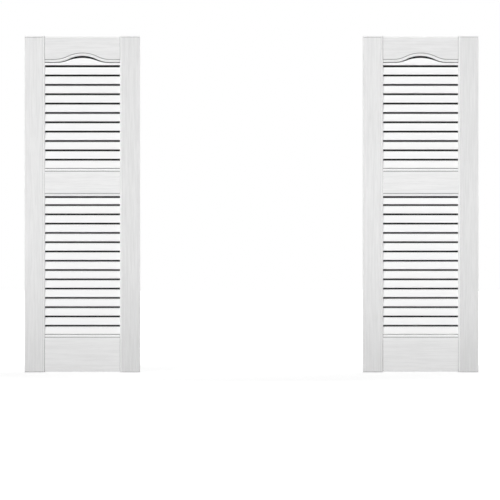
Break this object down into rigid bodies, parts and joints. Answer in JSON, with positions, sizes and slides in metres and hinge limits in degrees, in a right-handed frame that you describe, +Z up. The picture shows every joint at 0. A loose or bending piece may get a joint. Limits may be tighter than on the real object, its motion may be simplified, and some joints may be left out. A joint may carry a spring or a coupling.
{
  "type": "pair of cathedral top louvered shutters",
  "caption": "Pair of white moulded window shutters with fixed open louvers above and below a middle rail, a low cathedral arch under the top rail, and hollow ribbed backs.",
  "frame": {"origin": "on the wall plane, at the foot of the left shutter's window-side stile, in the middle of its width", "axes": "+X along the wall towards the right shutter, +Y into the wall, +Z up; the fronts face -Y"},
  "size_m": [1.4739, 0.0286, 1.0922],
  "materials": {
    "grained_frame": "white moulded plastic with a raised wood grain",
    "smooth_louvers": "white moulded plastic, smooth satin"
  },
  "bodies": {
    "root": {"left_outer_stile": "grained_frame", "left_inner_stile": "grained_frame", "left_top_rail": "grained_frame", "left_middle_rail": "grained_frame", "left_bottom_rail": "grained_frame", "left_arched_louver": "smooth_louvers", "left_upper_louvers": "smooth_louvers", "left_lower_louvers": "smooth_louvers", "right_outer_stile": "grained_frame", "right_inner_stile": "grained_frame", "right_top_rail": "grained_frame", "right_middle_rail": "grained_frame", "right_bottom_rail": "grained_frame", "right_arched_louver": "smooth_louvers", "right_upper_louvers": "smooth_louvers", "right_lower_louvers": "smooth_louvers"}
  },
  "joints": []
}
